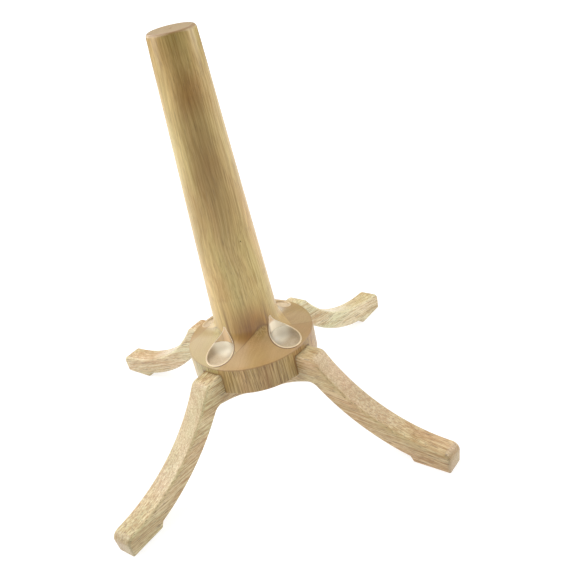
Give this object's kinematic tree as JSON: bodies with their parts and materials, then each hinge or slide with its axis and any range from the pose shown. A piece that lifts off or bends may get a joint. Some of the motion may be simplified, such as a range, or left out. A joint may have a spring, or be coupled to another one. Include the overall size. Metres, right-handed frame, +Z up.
{
  "type": "mug tree",
  "caption": "Free-standing wooden stand: a tapered turned post on a round flared hub, with curved sawn legs bolted up into the hub's underside.",
  "frame": {"origin": "on the floor, midway between the feet, under the axis of the post", "axes": "+Z up along the post, legs on the diagonals between X and Y, the most visible side towards -Y"},
  "size_m": [0.29, 0.29, 0.36],
  "materials": {
    "post_wood": "lacquered, satin",
    "cheek_wood": "lacquered, satin",
    "leg_wood": "lacquered, satin",
    "clear_cap": "clear gloss",
    "zinc_steel": "zinc plated",
    "brass": "plain",
    "dowel_wood": "bare"
  },
  "bodies": {
    "root": {"column": "post_wood", "cheek_front": "cheek_wood", "cheek_right": "cheek_wood", "cheek_back": "cheek_wood", "cheek_left": "cheek_wood", "leg_front_left": "leg_wood", "leg_front_right": "leg_wood", "leg_back_right": "leg_wood", "leg_back_left": "leg_wood", "cap_front_left": "clear_cap", "cap_front_right": "clear_cap", "cap_back_right": "clear_cap", "cap_back_left": "clear_cap", "bolt_front_left": "zinc_steel", "bolt_front_right": "zinc_steel", "bolt_back_right": "zinc_steel", "bolt_back_left": "zinc_steel", "washer_front_left": "zinc_steel", "washer_front_right": "zinc_steel", "washer_back_right": "zinc_steel", "washer_back_left": "zinc_steel", "insert_front_left": "brass", "insert_front_right": "brass", "insert_back_right": "brass", "insert_back_left": "brass", "dowel_front_left": "dowel_wood", "dowel_front_right": "dowel_wood", "dowel_back_right": "dowel_wood", "dowel_back_left": "dowel_wood"}
  },
  "joints": []
}
